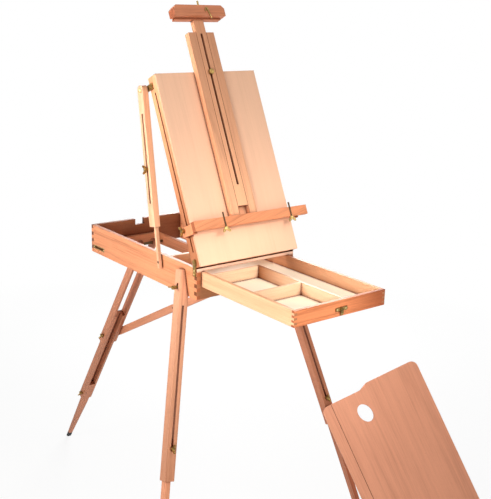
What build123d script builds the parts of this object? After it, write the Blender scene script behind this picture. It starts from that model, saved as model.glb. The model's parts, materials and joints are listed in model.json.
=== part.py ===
"""Wooden sketch-box easel on three folding legs, with its drawer, canvas mast and palette.

Millimetres. +X is to the painter's right, +Y runs from the painter to the rear leg, +Z is up.
The origin is the middle of the rear foot's sole, on the floor and in the easel's middle plane.
"""
import os
from math import acos, cos, radians, sin, tan

from build123d import *

os.makedirs("parts", exist_ok=True)

# Fits
slide_gap = 0.4
pin_gap = 0.05
floor_gap = 0.3
screw_short = 1.0

# Case
case_base = 860.0
case_width = 315.0
case_length = 540.0
case_height = 81.0
case_wall = 11.0
case_fingers = 8
strap_length = 62.0
strap_up = 12.0
strap_height = 11.0
strap_rim = 3.0
strap_side_rim = 6.0
half_case = case_width / 2
case_top = case_base + case_height

# Rear leg: two rails, a middle section between them and a foot inside the middle section
rear_lean = 32.5
rear_depth = 25.0
rail_thick = 8.0
fork_gap = 37.0
fork_past_screw = 33.0
rear_hinge_back = 487.0
rear_pin_radius = 4.0
middle_top = 329.0
middle_bottom = 780.0
middle_wall = 7.0
middle_screw_up = 24.0
foot_overlap = 80.0
foot_end_width = 13.0
foot_end_depth = 9.6
tip_length = 24.0
half_fork = fork_gap / 2 + rail_thick
hinge_z = case_base + rear_depth / 2
hinge_y = -hinge_z * tan(radians(rear_lean))
front = hinge_y - rear_hinge_back
rear = front + case_length

# Strut between the case and the rear leg: two halves that fold at the knee
strut_pin_back = 55.0
strut_width = 22.0
strut_thick = 11.5
strut_pin_radius = 3.0
strut_layer_gap = 0.6
strut_reach = rear_hinge_back - strut_pin_back
strut_half = strut_reach * sin(radians((90 + rear_lean) / 2))
fork_length = strut_reach + fork_past_screw
lower_strut_in = half_fork + strut_layer_gap
upper_strut_in = lower_strut_in + strut_thick + strut_layer_gap
knee_head_thick = 1.6
channel_half = upper_strut_in + strut_thick + knee_head_thick + 3 * strut_layer_gap
channel_rail = 10.0

# Drawer
drawer_out = 353.0
drawer_length = 520.0
drawer_bottom = 33.0
drawer_height = 39.0
drawer_width = 286.0
drawer_side = 9.0
drawer_panel = 5.0
drawer_fingers = 7
divider_thick = 7.0
divider_drop = 2.0
divider_x = 17.0
divider_rear_in = 329.0
divider_front_in = 155.0
half_drawer = drawer_width / 2
drawer_front = front - drawer_out
drawer_z = case_base + drawer_bottom
drawer_top = drawer_z + drawer_height

# Lid
lid_lean = 25.0
lid_length = 498.0
lid_thick = 38.0
lid_panel_thick = 6.0
lid_rail = 22.0
lid_corner = 16.0
lid_side_gap = 0.3
lid_hinge_in = 9.4
lid_pin_radius = 2.5
groove_width = 4.6
groove_depth = 12.0
groove_off = 19.7
groove_low = 40.0
groove_below_top = 43.0
groove_high = lid_length - groove_below_top
half_lid = half_case - lid_side_gap

# Mast, slat and canvas clamp, measured up the lid from its bottom edge
mast_width = 80.0
mast_low = 100.0
mast_above_lid = 101.0
mast_high = lid_length + mast_above_lid
mast_depth = 18.0
mast_floor = 4.0
slat_width = 31.4
slat_low = 133.0
slat_above_mast = 34.0
clamp_low = mast_high + slat_above_mast
clamp_lower_width = 143.0
clamp_lower_height = 5.0
clamp_upper_width = 160.0
clamp_upper_height = 29.0
clamp_overhang = 17.0
clamp_depth = 26.0
clamp_bevel = 9.0
slot_width = 6.6
slat_slot_up = 56.0
slat_slot_low = slat_low + slat_slot_up
mast_drop_short = 2.0
mast_drop = mast_low - mast_drop_short
mast_bolt_below_top = 7.0
mast_bolt_up = lid_length - mast_bolt_below_top
slat_slot_high = mast_bolt_up + mast_drop + slot_width
mast_clear = 1.0
bolt_radius = 2.5
clamp_bolt_x = 15.0
clamp_bolt_rise = 20.0
clamp_nut = 4.0
hook_wire = 1.4
hook_bend = 1.5 * hook_wire
hook_x = 17.0
hook_run = 15.0
hook_drop = 8.0

# Canvas ledge
ledge_left = 170.0
ledge_right = 194.0
ledge_low = 84.0
ledge_height = 25.0
ledge_thick = 13.0
ledge_block = 12.0
ledge_block_drop = 4.0
ledge_block_back = 9.0
ledge_clamp_up = 12.0
ledge_pin_left = -78.0
ledge_pin_right = 137.0
ledge_pin_radius = 2.2
ledge_pin_above = 13.0
ledge_screw_radius = 1.7
groove_reach = 6.0
ledge_off = mast_depth + mast_clear

# Lid stays: a slide bar turning on the case wall and a channel running over it
stay_pivot_back = 160.0
stay_pivot_up = 61.0
stay_below_top = 24.0
stay_top_up = lid_length - stay_below_top
stay_behind = 18.0
stay_in = 3.3
stay_thick = 16.0
stay_width = 26.0
stay_wall = 7.0
stay_flange = 8.0
stay_low = 94.0
stay_bar_end = 16.0
stay_bar_length = 270.0
stay_bolt_up = 243.0
stay_slot_below = 88.0
stay_end_room = 6.0
bracket_thick = 2.0
bracket_gap = 0.5

# Front legs: a slotted channel with a sliding bar inside
leg_splay = 13.8
leg_rake = 13.8
leg_thick = 27.0
leg_depth = 25.0
leg_back = 48.7
leg_edge_drop = 2.6
leg_pivot_up = 24.0
leg_above_edge = 66.0
leg_upper_length = 464.0
leg_side_wall = 6.0
leg_front_wall = 6.0
leg_slot_top = 25.0
leg_clamp_down = 382.0
leg_bar_above_clamp = 19.0
leg_cavity_top = 12.0
leg_bolt_radius = 3.0
leg_head_gap = 1.5
leg_hole_room = 1.0
leg_bolt_short = 2.0

# Palette, standing on one corner and leaning on the right front leg
palette_width = 315.0
palette_length = 580.0
palette_thick = 5.0
palette_below_bolt = 12.0
palette_least_lean = 15.0
palette_turn = -28.0
palette_roll = 22.0
palette_corner = 20.0
palette_step = 12.0
palette_step_run = 26.0
palette_step_share = 0.4
palette_seam_in = 30.0
palette_seam = 1.2
palette_left_of_leg = 15.0
thumb_hole_long = 28.0
thumb_hole_short = 20.0
thumb_hole_down = 76.0
thumb_hole_share = 0.36
thumb_hole_turn = 70.0

# Wing heads of the screws and bolts
wing_hub_radius = 5.0
wing_hub_height = 8.0
wing_reach = 12.0
wing_rise = 14.0
wing_thick = 2.0


def bar(plane, x_range, y_range, z_range, mode=Mode.ADD):
    """A square-edged block between the given limits, in the plane's own directions."""
    x_low, x_high = sorted(x_range)
    y_low, y_high = sorted(y_range)
    z_low, z_high = sorted(z_range)
    with BuildSketch(plane.offset(z_low)) as face:
        with Locations(((x_low + x_high) / 2, (y_low + y_high) / 2)):
            Rectangle(x_high - x_low, y_high - y_low)
    extrude(face.sketch, amount=z_high - z_low, mode=mode)


def rod(plane, x, y, z_range, radius, mode=Mode.ADD):
    """A round rod along the plane's normal."""
    z_low, z_high = sorted(z_range)
    with BuildSketch(plane.offset(z_low)) as face:
        with Locations((x, y)):
            Circle(radius)
    extrude(face.sketch, amount=z_high - z_low, mode=mode)


def wing_head(seat):
    """The hub and two wings of a wing screw, standing on the seat plane."""
    rod(seat, 0, 0, (0, wing_hub_height), wing_hub_radius)
    through = Plane(origin=seat.origin, x_dir=seat.x_dir, z_dir=-seat.y_dir)
    for way in (-1, 1):
        with BuildSketch(through) as wing:
            with BuildLine():
                Polyline(
                    (0, wing_hub_height * 0.2),
                    (way * wing_reach * 0.7, wing_hub_height * 0.6),
                    (way * wing_reach, wing_rise * 0.8),
                    (way * wing_reach * 0.85, wing_rise),
                    (way * wing_reach * 0.6, wing_rise * 0.95),
                    (0, wing_hub_height * 0.9),
                    close=True,
                )
            make_face()
        extrude(wing.sketch, amount=wing_thick / 2, both=True)


def cut_fingers(x_range, y_range, z_low, height, count, first):
    """Cut every second finger of a corner joint, starting at the given finger."""
    finger = height / count
    for index in range(first, count, 2):
        z = z_low + index * finger
        bar(Plane.XY, x_range, y_range, (z, z + finger), mode=Mode.SUBTRACT)


# Reference planes
side_plane = Plane(origin=(0, front, case_base), x_dir=(0, 1, 0), z_dir=(1, 0, 0))
rear_down = Vector(0, sin(radians(rear_lean)), -cos(radians(rear_lean)))
rear_plane = Plane(origin=(0, hinge_y, hinge_z), x_dir=rear_down, z_dir=(1, 0, 0))
rear_face = Plane(origin=rear_plane.origin, x_dir=(1, 0, 0), z_dir=Vector(1, 0, 0).cross(rear_down))
lid_up = Vector(0, sin(radians(lid_lean)), cos(radians(lid_lean)))
lid_out = Vector(0, -cos(radians(lid_lean)), sin(radians(lid_lean)))
lid_hinge = Vector(0, front + lid_hinge_in, case_top + lid_corner + slide_gap)
lid_origin = lid_hinge - lid_up * lid_corner + lid_out * (lid_thick - lid_corner)
lid_face = Plane(origin=lid_origin, x_dir=(1, 0, 0), z_dir=lid_out)
lid_side = Plane(origin=lid_origin, x_dir=lid_up, z_dir=(1, 0, 0))
lid_pin = (lid_corner, lid_corner - lid_thick)

# Lid stays: from the wall pivot to the bracket behind the lid
stay_pivot = Vector(0, front + stay_pivot_back, case_base + stay_pivot_up)
stay_top = lid_origin + lid_up * stay_top_up - lid_out * (lid_thick + stay_behind)
stay_reach = (stay_top - stay_pivot).length
stay_shut = lid_hinge + Vector(0, stay_top_up - lid_corner, -stay_behind - lid_corner)
stay_slot_above = stay_reach - (stay_shut - stay_pivot).length + stay_end_room
stay_plane = Plane(origin=stay_pivot, x_dir=(stay_top - stay_pivot).normalized(), z_dir=(1, 0, 0))
stay_face = half_case + stay_in
stay_outer = stay_face + stay_thick
stay_bar_outer = stay_outer - stay_wall - slide_gap
stay_cavity = stay_width / 2 - stay_flange

# Strut line from the case pin to the rear leg
strut_start = Vector(0, hinge_y - strut_reach, hinge_z)
strut_end = Vector(0, hinge_y, hinge_z) + rear_down * strut_reach
strut_plane = Plane(origin=strut_start, x_dir=(strut_end - strut_start).normalized(), z_dir=(1, 0, 0))

# Case: side walls
strap_plate = 1.6
strap_y = (rear - case_wall - strap_length, rear - case_wall)
strap_z = (case_base + strap_up, case_base + strap_up + strap_height)
strap_slot_y = (strap_y[0] + strap_side_rim, strap_y[1] - strap_side_rim)
strap_slot_z = (strap_z[0] + strap_rim, strap_z[1] - strap_rim)
pivot_y = leg_back + (leg_pivot_up + leg_edge_drop) * tan(radians(leg_rake))
for side, sign in (("left", -1), ("right", 1)):
    with BuildPart() as side_wall:
        across = (sign * (half_case - case_wall), sign * half_case)
        bar(Plane.XY, across, (front, rear), (case_base, case_top))
        cut_fingers(across, (front, front + case_wall), case_base, case_height, case_fingers, 1)
        cut_fingers(across, (rear - case_wall, rear), case_base, case_height, case_fingers, 1)
        rod(side_plane, stay_pivot_back, stay_pivot_up, across, bolt_radius, Mode.SUBTRACT)
        rod(side_plane, pivot_y, leg_pivot_up, across, leg_bolt_radius + pin_gap, Mode.SUBTRACT)
        if side == "left":
            bar(Plane.XY, (-half_case, strap_plate - half_case), strap_y, strap_z, Mode.SUBTRACT)
            bar(Plane.XY, across, strap_slot_y, strap_slot_z, Mode.SUBTRACT)
    side_wall.part.label = f"side_wall_{side}"
    export_step(side_wall.part, f"parts/side_wall_{side}.step")

# Case: brass plate round the strap slot, let into the left wall
with BuildPart() as strap_slot_plate:
    bar(Plane.XY, (-half_case, strap_plate - half_case), strap_y, strap_z)
    bar(Plane.XY, (-half_case, strap_plate - half_case), strap_slot_y, strap_slot_z, Mode.SUBTRACT)
strap_slot_plate.part.label = "strap_slot_plate"
export_step(strap_slot_plate.part, "parts/strap_slot_plate.step")

# Case: rear wall with the notch in its top edge
rear_notch = (-15.0, 16.0)
rear_notch_depth = 18.0
with BuildPart() as rear_wall:
    depth_range = (rear - case_wall, rear)
    bar(Plane.XY, (-half_case, half_case), depth_range, (case_base, case_top))
    bar(Plane.XY, rear_notch, depth_range, (case_top - rear_notch_depth, case_top), Mode.SUBTRACT)
    for sign in (-1, 1):
        corner = (sign * (half_case - case_wall), sign * half_case)
        cut_fingers(corner, depth_range, case_base, case_height, case_fingers, 0)
rear_wall.part.label = "rear_wall"
export_step(rear_wall.part, "parts/rear_wall.step")

# Case: front frame with the drawer window and the passage for the folded rear leg
window_half = half_drawer + slide_gap
window_z = (drawer_z - slide_gap, drawer_top + 2 * slide_gap)
passage_room = 1.0
with BuildPart() as front_frame:
    depth_range = (front, front + case_wall)
    bar(Plane.XY, (-half_case, half_case), depth_range, (case_base, case_top))
    bar(Plane.XY, (-window_half, window_half), depth_range, window_z, Mode.SUBTRACT)
    passage_z = (case_base, case_base + rear_depth + passage_room)
    bar(Plane.XY, (-channel_half, channel_half), depth_range, passage_z, Mode.SUBTRACT)
    for sign in (-1, 1):
        corner = (sign * (half_case - case_wall), sign * half_case)
        cut_fingers(corner, depth_range, case_base, case_height, case_fingers, 0)
front_frame.part.label = "front_frame"
export_step(front_frame.part, "parts/front_frame.step")

# Case: two rails that carry the drawer and house the folded rear leg
rail_top = drawer_z - slide_gap
with BuildPart() as channel_rails:
    for sign in (-1, 1):
        across = (sign * channel_half, sign * (channel_half + channel_rail))
        bar(Plane.XY, across, (front + case_wall, rear - case_wall), (case_base, rail_top))
        rod(rear_plane, 0, 0, across, rear_pin_radius, Mode.SUBTRACT)
    rod(strut_plane, 0, 0, across, strut_pin_radius, Mode.SUBTRACT)
channel_rails.part.label = "channel_rails"
export_step(channel_rails.part, "parts/channel_rails.step")

# Case: block behind the rear leg
stop_depth = 15.0
stop_lift = 3.0
with BuildPart() as leg_stop_block:
    stop_y = (rear - case_wall - stop_depth, rear - case_wall)
    bar(Plane.XY, (-channel_half, channel_half), stop_y, (case_base + stop_lift, rail_top))
leg_stop_block.part.label = "leg_stop_block"
export_step(leg_stop_block.part, "parts/leg_stop_block.step")

# Case: hinge pins of the rear leg and of the strut
with BuildPart() as hinge_pins:
    pin_half = channel_half + channel_rail
    rod(rear_plane, 0, 0, (-pin_half, pin_half), rear_pin_radius)
    rod(strut_plane, 0, 0, (upper_strut_in, pin_half), strut_pin_radius)
hinge_pins.part.label = "hinge_pins"
export_step(hinge_pins.part, "parts/hinge_pins.step")

# Case: brass plates that carry the lid's pins
pivot_plate = 2.5
pivot_plate_half = 6.0
pivot_plate_low = 60.0
with BuildPart() as lid_pivot_plates:
    hinge_up = lid_hinge.Z - case_base
    for sign in (-1, 1):
        across = (sign * half_case, sign * (half_case + pivot_plate))
        plate_y = (lid_hinge_in - pivot_plate_half, lid_hinge_in + pivot_plate_half)
        bar(side_plane, plate_y, (pivot_plate_low, hinge_up), across)
        rod(side_plane, lid_hinge_in, hinge_up, across, pivot_plate_half)
        rod(side_plane, lid_hinge_in, hinge_up, across, lid_pin_radius + pin_gap, Mode.SUBTRACT)
lid_pivot_plates.part.label = "lid_pivot_plates"
export_step(lid_pivot_plates.part, "parts/lid_pivot_plates.step")

# Case: screws on which the lid stays turn, with heads sunk in the slide bars
stay_head_radius = 3.5
stay_head = 3.0
with BuildPart() as stay_screws:
    for sign in (-1, 1):
        inner = half_case - case_wall + screw_short
        rod(stay_plane, 0, 0, (sign * inner, sign * stay_bar_outer), bolt_radius)
        rod(stay_plane, 0, 0, (sign * half_case, sign * (stay_face - floor_gap)), stay_head_radius)
        head = (sign * (stay_bar_outer - stay_head), sign * stay_bar_outer)
        rod(stay_plane, 0, 0, head, stay_head_radius)
stay_screws.part.label = "stay_screws"
export_step(stay_screws.part, "parts/stay_screws.step")

# Lid: plywood panel
with BuildPart() as lid_panel:
    bar(lid_face, (-half_lid, half_lid), (0, lid_length), (-lid_panel_thick, 0))
    rod(lid_face, 0, mast_bolt_up, (-lid_panel_thick, 0), bolt_radius, Mode.SUBTRACT)
lid_panel.part.label = "lid_panel"
export_step(lid_panel.part, "parts/lid_panel.step")

# Lid: side rails with the grooves that the ledge clamps run in
with BuildPart() as lid_side_rails:
    for sign in (-1, 1):
        across = (sign * (half_lid - lid_rail), sign * half_lid)
        with BuildSketch(lid_side.offset(min(across))) as profile:
            with Locations((lid_length / 2, -(lid_thick + lid_panel_thick) / 2)):
                Rectangle(lid_length, lid_thick - lid_panel_thick)
            fillet(profile.vertices().group_by(Axis.X)[0].sort_by(Axis.Y)[0], lid_corner)
        extrude(profile.sketch, amount=lid_rail)
        groove = (-groove_off - groove_width / 2, -groove_off + groove_width / 2)
        groove_across = (sign * (half_lid - groove_depth), sign * half_lid)
        bar(lid_side, (groove_low, groove_high), groove, groove_across, Mode.SUBTRACT)
        pin_across = (sign * (half_lid - lid_rail / 2), sign * half_lid)
        rod(lid_side, *lid_pin, pin_across, lid_pin_radius, Mode.SUBTRACT)
lid_side_rails.part.label = "lid_side_rails"
export_step(lid_side_rails.part, "parts/lid_side_rails.step")

# Lid: cross rails at the bottom and the top, the top one holding the mast bolt
mast_head_radius = 5.0
mast_head = 3.0
mast_head_in = lid_thick - mast_head
with BuildPart() as lid_cross_rails:
    inner = half_lid - lid_rail
    with BuildSketch(lid_side.offset(-inner)) as profile:
        with Locations((lid_rail / 2, -(lid_thick + lid_panel_thick) / 2)):
            Rectangle(lid_rail, lid_thick - lid_panel_thick)
        fillet(profile.vertices().group_by(Axis.X)[0].sort_by(Axis.Y)[0], lid_corner)
    extrude(profile.sketch, amount=2 * inner)
    bar(lid_face, (-inner, inner), (lid_length - lid_rail, lid_length), (-lid_thick, -lid_panel_thick))
    rod(lid_face, 0, mast_bolt_up, (-mast_head_in, 0), bolt_radius, Mode.SUBTRACT)
    head_pocket = (-lid_thick, mast_head - mast_head_in)
    rod(lid_face, 0, mast_bolt_up, head_pocket, mast_head_radius, Mode.SUBTRACT)
lid_cross_rails.part.label = "lid_cross_rails"
export_step(lid_cross_rails.part, "parts/lid_cross_rails.step")

# Lid: pins that turn in the pivot plates
pin_head = 2.0
with BuildPart() as lid_pivot_pins:
    for sign in (-1, 1):
        plate_out = half_case + pivot_plate + floor_gap
        rod(lid_side, *lid_pin, (sign * (half_lid - lid_rail / 2), sign * plate_out), lid_pin_radius)
        rod(lid_side, *lid_pin, (sign * plate_out, sign * (plate_out + pin_head)), 2 * lid_pin_radius)
lid_pivot_pins.part.label = "lid_pivot_pins"
export_step(lid_pivot_pins.part, "parts/lid_pivot_pins.step")

# Lid: brass brackets that reach back to the stays
bracket_half = 8.0
bracket_pad = 15.0
bracket_hole = 3.2
with BuildPart() as stay_brackets:
    for sign in (-1, 1):
        plate = (sign * (half_case + bracket_gap), sign * (half_case + bracket_gap + bracket_thick))
        pad = (sign * half_lid, plate[0])
        along = (stay_top_up - bracket_half, stay_top_up + bracket_half)
        back = -lid_thick - stay_behind
        bar(lid_side, along, (back, bracket_pad - lid_thick), plate)
        rod(lid_side, stay_top_up, back, plate, bracket_half)
        rod(lid_side, stay_top_up, back, plate, bracket_hole, Mode.SUBTRACT)
        bar(lid_side, along, (floor_gap - lid_thick, bracket_pad - lid_thick), pad)
stay_brackets.part.label = "stay_brackets"
export_step(stay_brackets.part, "parts/stay_brackets.step")

# Lid: bolt with a round nut that clamps the mast and the slat
nut_radius = 7.0
nut_height = 6.0
bolt_past_nut = 2.0
with BuildPart() as mast_bolt:
    nut_seat = mast_depth + slide_gap
    bolt_end = nut_seat + nut_height + bolt_past_nut
    rod(lid_face, 0, mast_bolt_up, (-mast_head_in, bolt_end), bolt_radius)
    rod(lid_face, 0, mast_bolt_up, (-mast_head_in, mast_head - mast_head_in), mast_head_radius)
    rod(lid_face, 0, mast_bolt_up, (nut_seat, nut_seat + nut_height), nut_radius)
mast_bolt.part.label = "mast_bolt"
export_step(mast_bolt.part, "parts/mast_bolt.step")

# Mast: channel in front of the lid, slotted for the bolt
with BuildPart() as mast_channel:
    bar(lid_face, (-mast_width / 2, mast_width / 2), (mast_low, mast_high), (floor_gap, mast_depth))
    channel = (-slat_width / 2 - slide_gap, slat_width / 2 + slide_gap)
    bar(lid_face, channel, (mast_low, mast_high), (mast_floor, mast_depth), Mode.SUBTRACT)
    slot = (-slot_width / 2, slot_width / 2)
    slot_run = (mast_bolt_up - slot_width, mast_bolt_up + mast_drop + slot_width)
    bar(lid_face, slot, slot_run, (floor_gap, mast_floor), Mode.SUBTRACT)
mast_channel.part.label = "mast_channel"
export_step(mast_channel.part, "parts/mast_channel.step")

# Slat that slides in the mast
with BuildPart() as slat:
    slat_depth = (mast_floor + floor_gap, mast_depth)
    bar(lid_face, (-slat_width / 2, slat_width / 2), (slat_low, clamp_low), slat_depth)
    bar(lid_face, slot, (slat_slot_low, slat_slot_high), slat_depth, Mode.SUBTRACT)
slat.part.label = "slat"
export_step(slat.part, "parts/slat.step")

# Canvas clamp: lower bar on the slat's end
clamp_front = mast_depth + clamp_overhang
clamp_back = clamp_front - clamp_depth
clamp_mid = clamp_low + clamp_lower_height
clamp_high = clamp_mid + clamp_upper_height
with BuildPart() as clamp_lower_bar:
    across = (-clamp_lower_width / 2, clamp_lower_width / 2)
    bar(lid_face, across, (clamp_low, clamp_mid), (slat_depth[0], ledge_off))
    clamp_plane = Plane(origin=lid_origin, x_dir=(1, 0, 0), z_dir=lid_up)
    bolt_off = -(clamp_back + ledge_off) / 2
    bolt_low = clamp_low + screw_short
    rod(clamp_plane, clamp_bolt_x, bolt_off, (bolt_low, clamp_mid), bolt_radius, Mode.SUBTRACT)
clamp_lower_bar.part.label = "clamp_lower_bar"
export_step(clamp_lower_bar.part, "parts/clamp_lower_bar.step")

# Canvas clamp: upper bar, overhanging the front, with bevelled ends
with BuildPart() as clamp_upper_bar:
    with BuildSketch(lid_face.offset(clamp_back)) as outline:
        with Locations((0, (clamp_mid + clamp_high) / 2)):
            Rectangle(clamp_upper_width, clamp_upper_height)
        chamfer(outline.vertices().group_by(Axis.Y)[-1], clamp_bevel)
    extrude(outline.sketch, amount=clamp_depth)
    rod(clamp_plane, clamp_bolt_x, bolt_off, (clamp_mid, clamp_high), bolt_radius, Mode.SUBTRACT)
clamp_upper_bar.part.label = "clamp_upper_bar"
export_step(clamp_upper_bar.part, "parts/clamp_upper_bar.step")

# Canvas clamp: bolt that joins the two bars
with BuildPart() as clamp_bolt:
    rod(clamp_plane, clamp_bolt_x, bolt_off, (bolt_low, clamp_high + clamp_bolt_rise), bolt_radius)
    rod(clamp_plane, clamp_bolt_x, bolt_off, (clamp_high, clamp_high + clamp_nut), 2 * bolt_radius)
clamp_bolt.part.label = "clamp_bolt"
export_step(clamp_bolt.part, "parts/clamp_bolt.step")

# Canvas clamp: bent wire hook on the front of the upper bar, laid out in shares of its run and of the bar
hook_points = (
    (hook_x, clamp_mid + 0.4 * clamp_upper_height),
    (hook_x + 0.2 * hook_run, clamp_mid + 0.8 * clamp_upper_height),
    (hook_x + 0.45 * hook_run, clamp_mid + 0.7 * clamp_upper_height),
    (hook_x + hook_run, clamp_mid - hook_drop),
)
with BuildPart() as clamp_hook:
    hook_plane = lid_face.offset(clamp_front + hook_wire)
    with BuildLine(hook_plane) as hook_path:
        FilletPolyline(*hook_points, radius=hook_bend)
    with BuildSketch(Plane(origin=hook_path.line @ 0, z_dir=hook_path.line % 0)):
        Circle(hook_wire)
    sweep(path=hook_path.line)
clamp_hook.part.label = "clamp_hook"
export_step(clamp_hook.part, "parts/clamp_hook.step")

# Canvas ledge: bar across the front of the mast
ledge_front = ledge_off + ledge_thick
ledge_high = ledge_low + ledge_height
pin_off = -ledge_front
with BuildPart() as ledge_bar:
    bar(lid_face, (-ledge_left, ledge_right), (ledge_low, ledge_high), (ledge_off, ledge_front))
    for x in (ledge_pin_left, ledge_pin_right):
        rod(clamp_plane, x, pin_off, (ledge_low, ledge_high), ledge_pin_radius, Mode.SUBTRACT)
ledge_bar.part.label = "ledge_bar"
export_step(ledge_bar.part, "parts/ledge_bar.step")

# Canvas ledge: blocks along the lid's sides
ledge_clamp_s = ledge_low + ledge_clamp_up
ledge_block_in = half_lid + slide_gap
with BuildPart() as ledge_end_blocks:
    for sign in (-1, 1):
        across = (sign * ledge_block_in, sign * (ledge_block_in + ledge_block))
        block_s = (ledge_low - ledge_block_drop, ledge_high - ledge_block_drop)
        bar(lid_face, across, block_s, (-groove_off - ledge_block_back, ledge_off))
        rod(lid_side, ledge_clamp_s, -groove_off, across, ledge_screw_radius, Mode.SUBTRACT)
ledge_end_blocks.part.label = "ledge_end_blocks"
export_step(ledge_end_blocks.part, "parts/ledge_end_blocks.step")

# Canvas ledge: wing screws that clamp in the lid's grooves
with BuildPart() as ledge_wing_screws:
    for sign in (-1, 1):
        outer = ledge_block_in + ledge_block
        screw = (sign * (half_lid - groove_reach), sign * outer)
        rod(lid_side, ledge_clamp_s, -groove_off, screw, ledge_screw_radius)
        spot = lid_side.from_local_coords((ledge_clamp_s, -groove_off, sign * outer))
        wing_head(Plane(origin=spot, x_dir=lid_up, z_dir=(sign, 0, 0)))
ledge_wing_screws.part.label = "ledge_wing_screws"
export_step(ledge_wing_screws.part, "parts/ledge_wing_screws.step")

# Canvas ledge: pins set in the front of the bar, with wings below
with BuildPart() as ledge_pins:
    for x in (ledge_pin_left, ledge_pin_right):
        rod(clamp_plane, x, pin_off, (ledge_low, ledge_high + ledge_pin_above), ledge_pin_radius)
        spot = clamp_plane.from_local_coords((x, pin_off, ledge_low))
        wing_head(Plane(origin=spot, x_dir=(1, 0, 0), z_dir=-lid_up))
ledge_pins.part.label = "ledge_pins"
export_step(ledge_pins.part, "parts/ledge_pins.step")

# Lid stays
for side, sign in (("left", -1), ("right", 1)):
    inner_x = sign * stay_face
    outer_x = sign * stay_outer
    floor_x = sign * (stay_outer - stay_wall)
    bar_x = sign * stay_bar_outer
    bar_half = stay_cavity - slide_gap

    with BuildPart() as stay_channel:
        half = stay_width / 2
        bar(stay_plane, (stay_low, stay_reach), (-half, half), (inner_x, outer_x))
        rod(stay_plane, stay_reach, 0, (inner_x, outer_x), half)
        rod(stay_plane, stay_reach, 0, (inner_x, outer_x), bracket_hole, Mode.SUBTRACT)
        cavity_top = stay_bar_length + stay_slot_above
        cavity = (-stay_cavity, stay_cavity)
        bar(stay_plane, (stay_low, cavity_top), cavity, (inner_x, floor_x), Mode.SUBTRACT)
        slot_run = (stay_bolt_up - stay_slot_below, stay_bolt_up + stay_slot_above)
        bar(stay_plane, slot_run, slot, (floor_x, outer_x), Mode.SUBTRACT)
    stay_channel.part.label = f"stay_channel_{side}"
    export_step(stay_channel.part, f"parts/stay_channel_{side}.step")

    with BuildPart() as stay_bar:
        bar(stay_plane, (-stay_bar_end, stay_bar_length), (-bar_half, bar_half), (inner_x, bar_x))
        rod(stay_plane, 0, 0, (inner_x, bar_x), bolt_radius + pin_gap, Mode.SUBTRACT)
        sunk_x = sign * (stay_bar_outer - stay_head - floor_gap)
        rod(stay_plane, 0, 0, (sunk_x, bar_x), stay_head_radius + floor_gap, Mode.SUBTRACT)
        rod(stay_plane, stay_bolt_up, 0, (inner_x, bar_x), bolt_radius, Mode.SUBTRACT)
    stay_bar.part.label = f"stay_bar_{side}"
    export_step(stay_bar.part, f"parts/stay_bar_{side}.step")

    with BuildPart() as stay_wing_bolt:
        seat_x = sign * (stay_outer + slide_gap)
        rod(stay_plane, stay_bolt_up, 0, (inner_x, seat_x), bolt_radius)
        spot = stay_plane.from_local_coords((stay_bolt_up, 0, seat_x))
        wing_head(Plane(origin=spot, x_dir=stay_plane.x_dir, z_dir=(sign, 0, 0)))
    stay_wing_bolt.part.label = f"stay_wing_bolt_{side}"
    export_step(stay_wing_bolt.part, f"parts/stay_wing_bolt_{side}.step")

# Drawer: sides, finger-jointed to the front
drawer_rear = drawer_front + drawer_length
drawer_front_y = (drawer_front, drawer_front + drawer_side)
for side, sign in (("left", -1), ("right", 1)):
    with BuildPart() as drawer_side_wall:
        across = (sign * (half_drawer - drawer_side), sign * half_drawer)
        bar(Plane.XY, across, (drawer_front, drawer_rear), (drawer_z, drawer_top))
        cut_fingers(across, drawer_front_y, drawer_z, drawer_height, drawer_fingers, 0)
    drawer_side_wall.part.label = f"drawer_side_{side}"
    export_step(drawer_side_wall.part, f"parts/drawer_side_{side}.step")

# Drawer: front
latch_up = 17.5
latch_pin_radius = 1.6
with BuildPart() as drawer_front_board:
    bar(Plane.XY, (-half_drawer, half_drawer), drawer_front_y, (drawer_z, drawer_top))
    for sign in (-1, 1):
        corner = (sign * (half_drawer - drawer_side), sign * half_drawer)
        cut_fingers(corner, drawer_front_y, drawer_z, drawer_height, drawer_fingers, 1)
drawer_front_board.part.label = "drawer_front"
export_step(drawer_front_board.part, "parts/drawer_front.step")

# Drawer: rear wall
drawer_in = half_drawer - drawer_side
with BuildPart() as drawer_rear_wall:
    rear_y = (drawer_rear - drawer_side, drawer_rear)
    bar(Plane.XY, (-drawer_in, drawer_in), rear_y, (drawer_z, drawer_top))
drawer_rear_wall.part.label = "drawer_rear"
export_step(drawer_rear_wall.part, "parts/drawer_rear.step")

# Drawer: bottom
drawer_inside_y = (drawer_front + drawer_side, drawer_rear - drawer_side)
drawer_floor = drawer_z + drawer_panel
with BuildPart() as drawer_floor_board:
    bar(Plane.XY, (-drawer_in, drawer_in), drawer_inside_y, (drawer_z, drawer_floor))
drawer_floor_board.part.label = "drawer_bottom"
export_step(drawer_floor_board.part, "parts/drawer_bottom.step")

# Drawer: long divider behind the front, and the partition and cross divider that close the bay left of it
divider_z = (drawer_floor, drawer_top - divider_drop)
long_x = (divider_x - divider_thick / 2, divider_x + divider_thick / 2)
cross_y = drawer_front + divider_front_in
partition_y = drawer_front + divider_rear_in
with BuildPart() as long_divider:
    bar(Plane.XY, long_x, (drawer_inside_y[0], partition_y), divider_z)
long_divider.part.label = "drawer_long_divider"
export_step(long_divider.part, "parts/drawer_long_divider.step")

with BuildPart() as partition:
    bar(Plane.XY, (-drawer_in, long_x[0]), (partition_y - divider_thick, partition_y), divider_z)
partition.part.label = "drawer_partition"
export_step(partition.part, "parts/drawer_partition.step")

with BuildPart() as cross_divider:
    bar(Plane.XY, (-drawer_in, long_x[0]), (cross_y, cross_y + divider_thick), divider_z)
cross_divider.part.label = "drawer_cross_divider"
export_step(cross_divider.part, "parts/drawer_cross_divider.step")

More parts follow.
